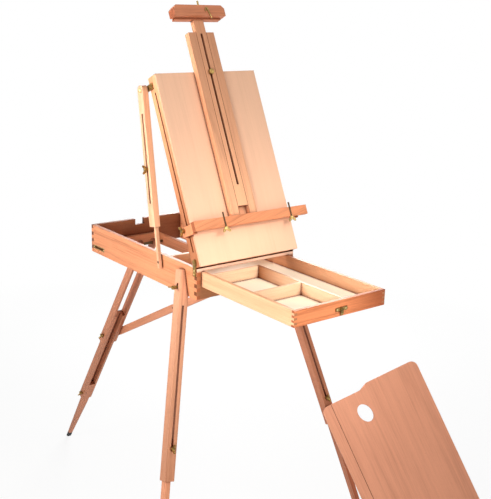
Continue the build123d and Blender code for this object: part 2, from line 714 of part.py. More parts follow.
# Drawer: brass latch plate with a pin, and the hook that turns on it
latch_plane = Plane(origin=(0, drawer_front, drawer_z), x_dir=(1, 0, 0), z_dir=(0, -1, 0))
latch_half = 18.0
latch_height = 8.0
latch_thick = 2.0
hook_length = 10.0
hook_width = 9.0
latch_head = 1.0
with BuildPart() as latch_plate:
    plate_z = (latch_up - latch_height / 2, latch_up + latch_height / 2)
    bar(latch_plane, (-latch_half, latch_half), plate_z, (0, latch_thick))
    pin_end = 2 * latch_thick + 2 * floor_gap
    rod(latch_plane, 0, latch_up, (latch_thick, pin_end), latch_pin_radius)
    rod(latch_plane, 0, latch_up, (pin_end, pin_end + latch_head), 2 * latch_pin_radius)
latch_plate.part.label = "latch_plate"
export_step(latch_plate.part, "parts/latch_plate.step")

with BuildPart() as latch_hook:
    with BuildSketch(latch_plane.offset(latch_thick + floor_gap)) as hook_shape:
        with Locations((0, latch_up - hook_length / 2)):
            SlotCenterToCenter(hook_length, hook_width, rotation=90)
        with Locations((0, latch_up)):
            Circle(latch_pin_radius + pin_gap, mode=Mode.SUBTRACT)
    extrude(hook_shape.sketch, amount=latch_thick)
latch_hook.part.label = "latch_hook"
export_step(latch_hook.part, "parts/latch_hook.step")

# Front legs
splay = radians(leg_splay)
rake = radians(leg_rake)
leg_tilt_run = leg_thick * tan(splay)
for side, sign in (("left", -1), ("right", 1)):
    leg_down = Vector(sign * sin(splay), -cos(splay) * sin(rake), -cos(splay) * cos(rake))
    leg_forward = Vector(0, -cos(rake), sin(rake))
    leg_edge = Vector(sign * (half_case + slide_gap), front + leg_back, case_base - leg_edge_drop)
    leg_plane = Plane(origin=leg_edge, x_dir=leg_forward, z_dir=leg_down)
    thick = (0, -sign * leg_thick)
    leg_mid = -sign * leg_thick / 2
    face_x = leg_depth / 2
    channel_x = face_x - leg_front_wall

    with BuildPart() as leg_bolt:
        leg_outer = half_case + slide_gap + leg_thick + leg_head_gap
        inside = half_case - case_wall + screw_short
        rod(side_plane, pivot_y, leg_pivot_up, (sign * inside, sign * leg_outer), leg_bolt_radius)
        spot = side_plane.from_local_coords((pivot_y, leg_pivot_up, sign * leg_outer))
        wing_head(Plane(origin=spot, x_dir=(0, 1, 0), z_dir=(sign, 0, 0)))
    leg_bolt.part.label = f"front_leg_bolt_{side}"
    export_step(leg_bolt.part, f"parts/front_leg_bolt_{side}.step")

    with BuildPart() as leg_upper:
        bar(leg_plane, (-face_x, face_x), thick, (-leg_above_edge, leg_upper_length))
        inner_y = (-sign * leg_side_wall, -sign * (leg_thick - leg_side_wall))
        bar(leg_plane, (-face_x, channel_x), inner_y, (leg_cavity_top, leg_upper_length), Mode.SUBTRACT)
        slot_y = (leg_mid - slot_width / 2, leg_mid + slot_width / 2)
        slot_z = (leg_slot_top, leg_clamp_down + slot_width)
        bar(leg_plane, (channel_x, face_x), slot_y, slot_z, Mode.SUBTRACT)
        wall_side = (sign * (half_case + slide_gap), sign * (half_case - leg_thick))
        wall_z = (case_base - leg_depth, case_top + leg_thick)
        bar(Plane.XY, wall_side, (front, rear), wall_z, Mode.SUBTRACT)
        bolt_rise = (leg_pivot_up + leg_edge_drop) / cos(rake)
        hole_x = (-leg_bolt_radius - slide_gap, leg_bolt_radius + slide_gap)
        hole_half = leg_bolt_radius + leg_hole_room
        hole_z = (-bolt_rise - hole_half, leg_tilt_run - bolt_rise + hole_half)
        bar(leg_plane, hole_x, thick, hole_z, Mode.SUBTRACT)
    leg_upper.part.label = f"front_leg_upper_{side}"
    export_step(leg_upper.part, f"parts/front_leg_upper_{side}.step")

    with BuildPart() as leg_lower:
        low_y = (-sign * (leg_side_wall + slide_gap), -sign * (leg_thick - leg_side_wall - slide_gap))
        bar_top = leg_clamp_down - leg_bar_above_clamp
        bar_end = case_base / cos(rake) + leg_thick + leg_depth
        bar(leg_plane, (-face_x, channel_x - slide_gap), low_y, (bar_top, bar_end))
        reach = case_base
        bar(Plane.XY, (-reach, reach), (front - reach, rear), (-reach / 2, 0), Mode.SUBTRACT)
        clamp_plane_leg = Plane(origin=leg_edge, x_dir=leg_down, z_dir=leg_forward)
        clamp_y = clamp_plane_leg.to_local_coords(leg_plane.from_local_coords((0, leg_mid, leg_clamp_down)))
        bolt_start = leg_bolt_short - face_x
        rod(clamp_plane_leg, clamp_y.X, clamp_y.Y, (bolt_start, face_x), bolt_radius, Mode.SUBTRACT)
    leg_lower.part.label = f"front_leg_lower_{side}"
    export_step(leg_lower.part, f"parts/front_leg_lower_{side}.step")

    with BuildPart() as leg_wing_bolt:
        seat_off = face_x + slide_gap
        rod(clamp_plane_leg, clamp_y.X, clamp_y.Y, (bolt_start, seat_off), bolt_radius)
        spot = clamp_plane_leg.from_local_coords((clamp_y.X, clamp_y.Y, seat_off))
        wing_head(Plane(origin=spot, x_dir=leg_down, z_dir=leg_forward))
    leg_wing_bolt.part.label = f"front_leg_wing_bolt_{side}"
    export_step(leg_wing_bolt.part, f"parts/front_leg_wing_bolt_{side}.step")

# Rear leg: two rails that hang on the hinge pin
with BuildPart() as rear_leg_rails:
    for inner in (fork_gap / 2, -half_fork):
        with BuildSketch(rear_plane.offset(inner)) as rail:
            with Locations((fork_length / 2, 0)):
                Rectangle(fork_length, rear_depth)
            Circle(rear_depth / 2)
            Circle(rear_pin_radius + pin_gap, mode=Mode.SUBTRACT)
        extrude(rail.sketch, amount=rail_thick)
    rod(rear_plane, strut_reach, 0, (-half_fork, -fork_gap / 2), bolt_radius, Mode.SUBTRACT)
rear_leg_rails.part.label = "rear_leg_rails"
export_step(rear_leg_rails.part, "parts/rear_leg_rails.step")

# Rear leg: wing screw that clamps the middle section
with BuildPart() as rear_wing_screw:
    rod(rear_plane, strut_reach, 0, (-half_fork, -fork_gap / 2), bolt_radius)
    spot = rear_plane.from_local_coords((strut_reach, 0, -half_fork))
    wing_head(Plane(origin=spot, x_dir=rear_down, z_dir=(-1, 0, 0)))
rear_wing_screw.part.label = "rear_leg_wing_screw"
export_step(rear_wing_screw.part, "parts/rear_leg_wing_screw.step")

# Rear leg: middle section, a channel open to the front
middle_half = fork_gap / 2 - slide_gap
middle_front = -rear_depth / 2
middle_cavity = middle_half - middle_wall
middle_screw = middle_bottom - middle_screw_up
with BuildPart() as rear_leg_middle:
    bar(rear_plane, (middle_top, middle_bottom), (middle_front, -middle_front), (-middle_half, middle_half))
    cavity_depth = (middle_front, -middle_front - middle_wall)
    cavity = (-middle_cavity, middle_cavity)
    bar(rear_plane, (middle_top, middle_bottom), cavity_depth, cavity, Mode.SUBTRACT)
    rod(rear_plane, middle_screw, 0, (-middle_half, -middle_cavity), bolt_radius, Mode.SUBTRACT)
rear_leg_middle.part.label = "rear_leg_middle"
export_step(rear_leg_middle.part, "parts/rear_leg_middle.step")

with BuildPart() as middle_wing_screw:
    rod(rear_plane, middle_screw, 0, (-middle_half, -middle_cavity), bolt_radius)
    spot = rear_plane.from_local_coords((middle_screw, 0, -middle_half))
    wing_head(Plane(origin=spot, x_dir=rear_down, z_dir=(-1, 0, 0)))
middle_wing_screw.part.label = "rear_middle_wing_screw"
export_step(middle_wing_screw.part, "parts/rear_middle_wing_screw.step")

# Rear leg: foot, tapered below the middle section, and its tip cut level with the floor
leg_length = hinge_z / cos(radians(rear_lean))
foot_half = middle_cavity - slide_gap
foot_back = -middle_front - middle_wall - slide_gap
foot_bottom = leg_length - tip_length
foot_taper_top = middle_bottom + tip_length
foot_top = middle_bottom - foot_overlap
with BuildPart() as rear_leg_foot:
    with BuildSketch(rear_plane.offset(-foot_half)) as foot_side:
        with BuildLine():
            Polyline(
                (foot_top, middle_front),
                (foot_taper_top, middle_front),
                (foot_bottom, -foot_end_depth / 2),
                (foot_bottom, foot_end_depth / 2),
                (foot_taper_top, foot_back),
                (foot_top, foot_back),
                close=True,
            )
        make_face()
    extrude(foot_side.sketch, amount=2 * foot_half)
    with BuildSketch(rear_face.offset(-rear_depth)) as foot_front:
        with BuildLine():
            Polyline(
                (-foot_half, foot_top),
                (-foot_half, foot_taper_top),
                (-foot_end_width / 2, foot_bottom),
                (foot_end_width / 2, foot_bottom),
                (foot_half, foot_taper_top),
                (foot_half, foot_top),
                close=True,
            )
        make_face()
    extrude(foot_front.sketch, amount=2 * rear_depth, mode=Mode.INTERSECT)
rear_leg_foot.part.label = "rear_leg_foot"
export_step(rear_leg_foot.part, "parts/rear_leg_foot.step")

with BuildPart() as rear_leg_tip:
    tip_run = (foot_bottom, leg_length + foot_end_width)
    tip_depth = (-foot_end_depth / 2, foot_end_depth / 2)
    bar(rear_plane, tip_run, tip_depth, (-foot_end_width / 2, foot_end_width / 2))
    below = 3 * tip_length
    bar(Plane.XY, (-below, below), (-below, below), (-below, 0), Mode.SUBTRACT)
rear_leg_tip.part.label = "rear_leg_tip"
export_step(rear_leg_tip.part, "parts/rear_leg_tip.step")

# Strut: upper half on the case, lower half towards the leg, and the bolts of the lower half
with BuildPart() as strut_upper:
    with BuildSketch(strut_plane.offset(upper_strut_in)) as outline:
        with Locations((strut_half / 2, 0)):
            SlotCenterToCenter(strut_half, strut_width)
        with Locations((0, 0), (strut_half, 0)):
            Circle(strut_pin_radius + pin_gap, mode=Mode.SUBTRACT)
    extrude(outline.sketch, amount=strut_thick)
strut_upper.part.label = "strut_upper"
export_step(strut_upper.part, "parts/strut_upper.step")

with BuildPart() as strut_lower:
    with BuildSketch(strut_plane.offset(lower_strut_in)) as outline:
        with Locations((strut_half * 3 / 2, 0)):
            SlotCenterToCenter(strut_half, strut_width)
        with Locations((strut_half, 0), (2 * strut_half, 0)):
            Circle(strut_pin_radius, mode=Mode.SUBTRACT)
    extrude(outline.sketch, amount=strut_thick)
strut_lower.part.label = "strut_lower"
export_step(strut_lower.part, "parts/strut_lower.step")

with BuildPart() as strut_bolts:
    knee_end = upper_strut_in + strut_thick + strut_layer_gap
    rod(strut_plane, strut_half, 0, (lower_strut_in, knee_end), strut_pin_radius)
    rod(strut_plane, strut_half, 0, (knee_end, knee_end + knee_head_thick), 2 * strut_pin_radius)
    rod(strut_plane, 2 * strut_half, 0, (lower_strut_in, lower_strut_in + strut_thick), strut_pin_radius)
strut_bolts.part.label = "strut_bolts"
export_step(strut_bolts.part, "parts/strut_bolts.step")

# Palette: it stands on its lower left corner, its back against the right front leg below the wing bolt
leg_clamp_z = leg_plane.from_local_coords((face_x, leg_mid, leg_clamp_down)).Z
palette_low_top = palette_length - palette_step
turn = radians(palette_turn)
roll = radians(palette_roll)
corner_lift = palette_corner * (1 - sin(roll) - cos(roll))
palette_stand = corner_lift + palette_left_of_leg * sin(roll) + palette_low_top * cos(roll)
palette_under_bolt = leg_clamp_z - wing_reach - palette_below_bolt
palette_rest_z = min(palette_under_bolt, palette_stand * cos(radians(palette_least_lean)))
tilt = acos(palette_rest_z / palette_stand)
level_along = Vector(cos(turn), sin(turn), 0)
palette_down = Vector(sin(turn), -cos(turn), 0)
slope_up = palette_down * -sin(tilt) + Vector(0, 0, cos(tilt))
palette_along = level_along * cos(roll) + slope_up * sin(roll)
palette_up = slope_up * cos(roll) - level_along * sin(roll)
palette_front = palette_along.cross(palette_up)
leg_tops = [leg_plane.from_local_coords((face_x, y, 0)) for y in (0, -leg_thick)]
leg_edges = [spot + leg_down * ((palette_rest_z - spot.Z) / leg_down.Z) for spot in leg_tops]
leg_touch = max(leg_edges, key=palette_front.dot)
palette_spot = leg_edges[0] - palette_along * palette_left_of_leg - palette_up * palette_low_top
palette_spot += palette_front * (palette_front.dot(leg_touch - palette_spot) + 2 * slide_gap)
palette_spot -= slope_up * (palette_spot.Z / cos(tilt) - corner_lift)
palette_plane = Plane(origin=palette_spot, x_dir=palette_along, z_dir=palette_front)
thumb_x = palette_width * thumb_hole_share
with BuildPart() as palette:
    with BuildSketch(palette_plane) as outline:
        with BuildLine() as edge:
            step_x = palette_width * palette_step_share
            Polyline(
                (0, 0),
                (palette_width, 0),
                (palette_width, palette_length),
                (step_x + palette_step_run, palette_length),
                (step_x, palette_low_top),
                (0, palette_low_top),
                close=True,
            )
            fillet(edge.vertices(), palette_corner)
        make_face()
        with Locations((thumb_x, palette_length - thumb_hole_down)):
            Ellipse(thumb_hole_long, thumb_hole_short, rotation=-thumb_hole_turn, mode=Mode.SUBTRACT)
    extrude(outline.sketch, amount=palette_thick)
    seam = (palette_seam_in, palette_seam_in + palette_seam)
    seam_depth = (palette_thick - palette_seam, palette_thick)
    bar(palette_plane, seam, (0, palette_length), seam_depth, Mode.SUBTRACT)
palette.part.label = "palette"
export_step(palette.part, "parts/palette.step")
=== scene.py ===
"""Looks of the wooden sketch-box easel: woods, brass, small fittings, light and camera. Metres."""

import json
from math import cos, pi, radians, sin, sqrt

import bmesh
import bpy
from mathutils import Matrix, Vector


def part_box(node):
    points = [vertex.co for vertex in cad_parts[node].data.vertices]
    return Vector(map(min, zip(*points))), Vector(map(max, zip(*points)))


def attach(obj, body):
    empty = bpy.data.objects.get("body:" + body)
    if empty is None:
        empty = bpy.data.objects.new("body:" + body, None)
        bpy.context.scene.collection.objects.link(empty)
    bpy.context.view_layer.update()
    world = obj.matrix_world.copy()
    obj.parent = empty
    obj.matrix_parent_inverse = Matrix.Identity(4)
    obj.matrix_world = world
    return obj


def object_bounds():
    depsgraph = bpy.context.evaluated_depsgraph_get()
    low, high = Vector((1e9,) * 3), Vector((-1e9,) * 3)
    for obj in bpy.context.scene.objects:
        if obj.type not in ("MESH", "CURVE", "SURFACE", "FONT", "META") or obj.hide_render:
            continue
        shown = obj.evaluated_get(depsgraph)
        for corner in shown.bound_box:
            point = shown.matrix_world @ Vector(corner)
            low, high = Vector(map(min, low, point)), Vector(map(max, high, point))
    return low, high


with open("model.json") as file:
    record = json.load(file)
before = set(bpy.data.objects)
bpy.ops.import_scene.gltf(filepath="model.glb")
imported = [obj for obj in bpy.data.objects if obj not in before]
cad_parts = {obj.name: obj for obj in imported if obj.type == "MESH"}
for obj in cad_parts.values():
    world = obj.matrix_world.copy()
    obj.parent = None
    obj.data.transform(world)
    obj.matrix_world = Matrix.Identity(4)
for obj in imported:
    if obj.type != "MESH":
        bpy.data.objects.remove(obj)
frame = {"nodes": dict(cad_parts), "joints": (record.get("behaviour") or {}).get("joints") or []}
cad_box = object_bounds()
nodes = frame["nodes"]
joints = {joint["name"]: joint for joint in frame["joints"]}
scene = bpy.context.scene

# Directions of the grain, mostly from the joints that the wooden parts slide or turn on
along_x = Vector((1, 0, 0))
along_y = Vector((0, 1, 0))
along_z = Vector((0, 0, 1))
lid_up = Vector(joints["mast_slide"]["axis"])
lid_out = along_x.cross(lid_up)
ledge_slant = 0.25
ledge_run = along_x + lid_up * ledge_slant
stay_up = Vector(joints["stay_left_slide"]["axis"])
rear_down = Vector(joints["rear_leg_extend"]["axis"])
leg_down = {side: Vector(joints[f"front_leg_{side}_extend"]["axis"]) for side in ("left", "right")}
strut_run = Vector(joints["strut_knee"]["pos_m"]) - Vector(joints["strut_upper_turn"]["pos_m"])

# Sizes of the marks in the materials, painted shade among them
wood_edge = 0.0011
wood_relief = 0.0002
ply_pair = 0.003
# Painted shade: how far it reaches into slots and seams, and how wide the painted shadow line
# beside the slat is
slot_shade_reach = 0.016
seam_shade_reach = 0.006
gap_shade_width = 0.0015
metal_edge = 0.0005
metal_relief = 0.00005
rubber_relief = 0.0002

# Strengths of the marks in the materials, painted shade among them
light_tone = 0.14
dark_tone = 0.30
fleck_strength = 0.26
fleck_dark = 0.5
fleck_height = -0.6
ply_dark = (0.52, 0.45)
ply_light = (0.10, 0.16)
# Painted shade: how dark the shadow line beside the slat and the shade in slots are
gap_shade_dark = 0.75
slot_shade_depth = 1.08
piece_tones = (0.94, 1.05)
wood_sheen = 0.24
streak_gloss = (-0.07, 0.09)
patch_gloss = 0.12
polish_turn = (0.3, 0.2, 0.7)
dust_shade = 1.9

# How far the grain's bands shift a fade of painted shade, as a share of the fade
shade_fade_sway = 0.4
bands_middle = 0.5

black = (0, 0, 0, 1)
white = (1, 1, 1, 1)


def broad_normal(name):
    """The direction of a node's largest flat face."""
    largest = max(nodes[name].data.polygons, key=lambda face: face.area)
    return Vector(largest.normal)


def longest_edge(name):
    """The direction of a node's longest straight edge."""
    mesh = nodes[name].data
    ends = [[mesh.vertices[index].co for index in edge.vertices] for edge in mesh.edges]
    start, end = max(ends, key=lambda pair: (pair[1] - pair[0]).length)
    return (end - start).normalized()


def span(name, way):
    """Where a node starts and ends along a direction."""
    places = [corner.co.dot(way) for corner in nodes[name].data.vertices]
    return min(places), max(places)


def linear(red, green, blue):
    """A colour given as it looks on a screen, 0 to 255, as the shader's linear values."""
    values = []
    for value in (red, green, blue):
        level = value / 255
        values.append(level / 12.92 if level <= 0.04045 else ((level + 0.055) / 1.055) ** 2.4)
    return Vector(values)


def shade(colour, factor):
    """A darker or lighter colour with the alpha that colour sockets take."""
    return (*[min(1.0, channel * factor) for channel in colour], 1.0)


def deep(colour, amount):
    """The same wood further into its dark, red-brown tone."""
    fall = (0.80, 1.0, 1.12)
    least = 0.04
    return (*[channel * max(least, 1 - amount * drop) for channel, drop in zip(colour, fall)], 1.0)


# Steps that the materials are made of


def new_material(name):
    """An empty node material and its tree."""
    material = bpy.data.materials.new(name)
    material.use_nodes = True
    material.node_tree.nodes.clear()
    return material, material.node_tree


def add(tree, kind, inputs=None, **settings):
    """A shader node; inputs that are sockets are linked, the others are set."""
    node = tree.nodes.new(kind)
    for name, value in settings.items():
        setattr(node, name, value)
    for name, value in (inputs or {}).items():
        if isinstance(value, bpy.types.NodeSocket):
            tree.links.new(value, node.inputs[name])
        else:
            node.inputs[name].default_value = value
    return node


def compute(tree, operation, first, second=0.5):
    """The result of one arithmetic step."""
    return add(tree, "ShaderNodeMath", {0: first, 1: second}, operation=operation).outputs[0]


def remap(tree, value, source=(0.0, 1.0), result=(0.0, 1.0)):
    """A value carried over from one range to another, and held inside it."""
    inputs = {
        "Value": value,
        "From Min": source[0],
        "From Max": source[1],
        "To Min": result[0],
        "To Max": result[1],
    }
    return add(tree, "ShaderNodeMapRange", inputs).outputs[0]


def blend(tree, factor, first, second, mode="MIX"):
    """A mix of two colours, whose sockets come after those for numbers and vectors."""
    inputs = {0: factor, 6: first, 7: second}
    return add(tree, "ShaderNodeMix", inputs, data_type="RGBA", blend_type=mode).outputs[2]


def ramp(tree, value, stops):
    """A colour ramp through the given positions and colours."""
    node = add(tree, "ShaderNodeValToRGB", {0: value})
    elements = node.color_ramp.elements
    while len(elements) < len(stops):
        elements.new(1.0)
    for element, (position, colour) in zip(elements, stops):
        element.position = position
        element.color = colour
    return node.outputs[0]


def mask(tree, value, low, high):
    """Black below the low limit and white above the high one."""
    return ramp(tree, value, ((low, black), (high, white)))


def grain_frame(grain):
    """The turn that lays the texture's first axis along the grain."""
    first = grain.normalized()
    nearly_upright = abs(first.z) >= 0.9
    helper = along_x if nearly_upright else along_z
    second = helper.cross(first).normalized()
    third = first.cross(second)
    return Matrix((first, second, third)).transposed().to_euler()


def cells(tree, coords, length, width, detail, rough, distort=0.0, turn=(0, 0, 0)):
    """Fractal noise between 0 and 1, in cells this long on the turned first axis and this wide."""
    inputs = {"Vector": coords, "Rotation": turn, "Scale": (length, width, width)}
    stretched = add(tree, "ShaderNodeMapping", inputs, vector_type="TEXTURE").outputs[0]
    inputs = {
        "Vector": stretched,
        "Scale": 1.0,
        "Detail": detail,
        "Roughness": rough,
        "Distortion": distort,
    }
    return add(tree, "ShaderNodeTexNoise", inputs).outputs[0]


def place_along(tree, vector, way):
    """How far a vector reaches along a direction."""
    inputs = {0: vector, 1: way.normalized()}
    return add(tree, "ShaderNodeVectorMath", inputs, operation="DOT_PRODUCT").outputs["Value"]


def facing_share(tree, normal, way, low, high):
    """How far a face looks along a direction: 0 below the low limit, 1 above the high one."""
    share = compute(tree, "ABSOLUTE", place_along(tree, normal, way))
    return mask(tree, share, low, high)


def clearness(tree, reach, shut, clear):
    """For painted shade: nothing where surfaces within reach shut a spot in, one where it is clear
    of them.
    """
    open_share = add(tree, "ShaderNodeAmbientOcclusion", {"Distance": reach}, samples=6)
    return remap(tree, open_share.outputs["AO"], (shut, clear))


def relief(tree, height, strength, depth, edge):
    """The normal of a surface with fine relief and edges rounded to a radius."""
    soft_edge = add(tree, "ShaderNodeBevel", {"Radius": edge}, samples=4).outputs[0]
    inputs = {"Strength": strength, "Distance": depth, "Height": height, "Normal": soft_edge}
    return add(tree, "ShaderNodeBump", inputs).outputs[0]


def cover(tree, inputs):
    """The principled shader with these inputs, as the material's surface."""
    shader = add(tree, "ShaderNodeBsdfPrincipled", inputs)
    add(tree, "ShaderNodeOutputMaterial", {"Surface": shader.outputs[0]})


# Wood, metal and rubber


def ply_stripes(tree, coords, colour, way):
    """Dark and light plies that lie on each other along a direction."""
    pairs = compute(tree, "MULTIPLY", place_along(tree, coords, way), 1 / ply_pair)
    stops = (
        (0.0, deep(colour, ply_dark[0])),
        (0.46, deep(colour, ply_dark[1])),
        (0.54, deep(colour, ply_light[0])),
        (1.0, deep(colour, ply_light[1])),
    )
    return ramp(tree, compute(tree, "FRACT", pairs), stops)


def shade_fade_share(tree, coords, bands, way, light_end, dark_end):
    """Painted shade along a board: 0 at its lit end, 1 at its shaded end, swaying with the grain's
    bands.
    """
    sway = shade_fade_sway * (dark_end - light_end)
    shift = compute(tree, "SUBTRACT", bands, bands_middle)
    shift = compute(tree, "MULTIPLY", shift, sway)
    spot = compute(tree, "ADD", shift, place_along(tree, coords, way))
    return remap(tree, spot, (light_end, dark_end))


def gap_shade_share(tree, coords, normal, middle, half):
    """One on a narrow line either side of a strip, where a painted shadow line falls in the gap, on
    faces that look out from the lid.
    """
    off_middle = compute(tree, "SUBTRACT", place_along(tree, coords, along_x), middle)
    off_middle = compute(tree, "ABSOLUTE", off_middle)
    past_edge = compute(tree, "GREATER_THAN", off_middle, half)
    near_edge = compute(tree, "LESS_THAN", off_middle, half + gap_shade_width)
    line = compute(tree, "MULTIPLY", past_edge, near_edge)
    front = facing_share(tree, normal, lid_out, low=0.7, high=0.9)
    return compute(tree, "MULTIPLY", line, front)


def wood(
    name,
    colour,
    grain,
    contrast=1.0,
    fleck=1.0,
    end_shade=0.40,
    rough=0.46,
    plies=None,
    reach=slot_shade_reach,
    gap_shade_at=None,
    shade_fade=None,
):
    """Straight-grained wood: drifting tone, streaks, fibres, flecks and darker end grain.

    Plies is the direction through a plywood board.
    Reach is the distance within which other surfaces darken a spot with painted shade.
    A strip's middle and half width along X give a painted shadow line in the gap on either side of
    it.
    A direction, two places on it and a depth give painted shade that darkens the wood between those
    places, by that much.
    """
    material, tree = new_material(name)
    place = add(tree, "ShaderNodeTexCoord")
    coords = place.outputs["Object"]
    normal = place.outputs["Normal"]
    turn = grain_frame(grain)

    def grain_cells(length, width, **look):
        """Noise in cells that lie along the grain."""
        return cells(tree, coords, length, width, turn=turn, **look)

    drift = grain_cells(length=0.50, width=0.055, detail=2.0, rough=0.5, distort=0.8)
    bands = grain_cells(length=0.42, width=0.012, detail=4.0, rough=0.62, distort=1.4)
    streaks = grain_cells(length=0.16, width=0.0032, detail=3.0, rough=0.62, distort=0.5)
    fibres = grain_cells(length=0.03, width=0.0008, detail=2.0, rough=0.6)
    flecks = grain_cells(length=0.0052, width=0.0006, detail=1.0, rough=0.4)
    pores = grain_cells(length=0.05, width=0.0009, detail=2.0, rough=0.7)

    tone = 0.0
    for layer, weight in ((drift, 0.30), (bands, 0.30), (streaks, 0.24), (fibres, 0.16)):
        tone = compute(tree, "ADD", tone, compute(tree, "MULTIPLY", layer, weight))
    tone_stops = (
        (0.34, deep(colour, dark_tone * contrast)),
        (0.50, shade(colour, 1.0)),
        (0.66, shade(colour, 1 + light_tone * contrast)),
    )
    base = ramp(tree, tone, tone_stops)
    fleck_mask = mask(tree, flecks, low=0.60, high=0.68)
    fleck_share = compute(tree, "MULTIPLY", fleck_mask, fleck_strength * fleck)
    base = blend(tree, fleck_share, base, deep(colour, fleck_dark))

    end_mask = facing_share(tree, normal, grain, low=0.80, high=0.93)
    end_stops = ((0.3, deep(colour, 1.15 - end_shade)), (0.7, deep(colour, 0.90 - end_shade)))
    base = blend(tree, end_mask, base, ramp(tree, pores, end_stops))
    if plies is not None:
        broad_mask = facing_share(tree, normal, plies, low=0.15, high=0.4)
        base = blend(tree, broad_mask, ply_stripes(tree, coords, colour, plies), base)
    # Painted shade that darkens the board between two places along a direction
    if shade_fade is not None:
        *fade, depth = shade_fade
        dark_share = shade_fade_share(tree, coords, bands, *fade)
        base = blend(tree, dark_share, base, deep((1, 1, 1), depth), "MULTIPLY")
    # A painted shadow line in the gap either side of a strip
    if gap_shade_at is not None:
        gap_shade_mask = gap_shade_share(tree, coords, normal, *gap_shade_at)
        base = blend(tree, gap_shade_mask, base, deep(colour, gap_shade_dark))

    piece = add(tree, "ShaderNodeObjectInfo")
    piece_tone = remap(tree, piece.outputs["Random"], result=piece_tones)
    base = add(tree, "ShaderNodeHueSaturation", {"Value": piece_tone, "Color": base}).outputs[0]
    # Painted shade in slots, seams and corners, where other surfaces close in; the sheen fades with
    # it
    clear_of_slot_shade = clearness(tree, reach, shut=0.12, clear=0.75)
    clear_of_seam_shade = clearness(tree, seam_shade_reach, shut=0.42, clear=0.80)
    in_light = compute(tree, "MULTIPLY", clear_of_slot_shade, clear_of_seam_shade)
    base = blend(tree, in_light, deep(colour, slot_shade_depth), base)

    height = compute(tree, "ADD", fibres, compute(tree, "MULTIPLY", fleck_mask, fleck_height))
    gloss = [rough + change for change in streak_gloss]
    cover(
        tree,
        {
            "Base Color": base,
            "Roughness": remap(tree, streaks, result=gloss),
            "Normal": relief(tree, height, strength=0.22, depth=wood_relief, edge=wood_edge),
            "Specular IOR Level": compute(tree, "MULTIPLY", in_light, wood_sheen),
        },
    )
    return material


def metal(name, colour, rough, worn, tip=None):
    """Plated metal with faint polishing marks and duller patches.

    Tip is a direction, a place on it and the colour of the metal that lies before that place.
    """
    material, tree = new_material(name)
    coords = add(tree, "ShaderNodeTexCoord").outputs["Object"]
    patches = cells(tree, coords, length=0.006, width=0.006, detail=3.0, rough=0.6)
    marks = cells(tree, coords, length=0.004, width=0.0003, detail=1.0, rough=0.5, turn=polish_turn)

    def plating(tone):
        """The colour of the metal, duller in patches."""
        return ramp(tree, patches, ((0.3, shade(tone, worn)), (0.65, shade(tone, 1.0))))

    base = plating(colour)
    if tip is not None:
        way, end, tip_colour = tip
        tip_mask = compute(tree, "LESS_THAN", place_along(tree, coords, way), end)
        base = blend(tree, tip_mask, base, plating(tip_colour))
    cover(
        tree,
        {
            "Base Color": base,
            "Metallic": 1.0,
            "Roughness": remap(tree, patches, result=(rough + patch_gloss, rough)),
            "Normal": relief(tree, marks, strength=0.15, depth=metal_relief, edge=metal_edge),
        },
    )
    return material


def rubber(name, colour):
    """Matt black rubber with a fine moulded grain."""
    material, tree = new_material(name)
    coords = add(tree, "ShaderNodeTexCoord").outputs["Object"]
    grit = cells(tree, coords, length=0.0008, width=0.0008, detail=3.0, rough=0.6)
    dust = cells(tree, coords, length=0.008, width=0.008, detail=2.0, rough=0.5)
    base = ramp(tree, dust, ((0.35, shade(colour, 1.0)), (0.75, shade(colour, dust_shade))))
    bump_inputs = {"Strength": 0.4, "Distance": rubber_relief, "Height": grit}
    bump = add(tree, "ShaderNodeBump", bump_inputs)
    cover(tree, {"Base Color": base, "Roughness": 0.75, "Normal": bump.outputs[0]})
    return material


# Colours, as seen in plain light, but for the rear wall's and the right leg's, which are darkened
# with painted shade
case_beech = linear(213, 138, 96)
# Painted shade: the rear wall's wood is darker for the shade inside the case
shaded_rear_beech = linear(154, 97, 66)
frame_beech = linear(226, 158, 118)
rail_top_beech = linear(242, 200, 172)
rail_beech = linear(224, 156, 112)
mast_beech = linear(240, 176, 134)
slat_beech = linear(236, 172, 130)
clamp_beech = linear(204, 128, 90)
ledge_beech = linear(214, 136, 93)
stay_beech = linear(230, 176, 138)
drawer_beech = linear(234, 178, 136)
divider_beech = linear(240, 198, 162)
front_beech = linear(214, 130, 84)
leg_beech = linear(206, 138, 103)
leg_top_beech = linear(212, 152, 118)
rear_leg_beech = linear(190, 124, 92)
# Painted shade: the right leg's wood is darker for the shade under the drawer
shaded_right_leg_beech = linear(168, 107, 78)
lid_veneer = linear(240, 190, 156)
floor_veneer = linear(255, 241, 216)
palette_wood = linear(212, 146, 115)
wing_brass = linear(190, 160, 102)
pin_bronze = linear(84, 62, 44)

brass = metal("brass", linear(172, 141, 84), rough=0.32, worn=0.32)
polished_brass = metal("polished_brass", linear(222, 196, 134), rough=0.26, worn=0.62)
dark_pin = metal("dark_pin", linear(104, 84, 60), rough=0.46, worn=0.55)
black_rubber = rubber("black_rubber", linear(26, 25, 25))

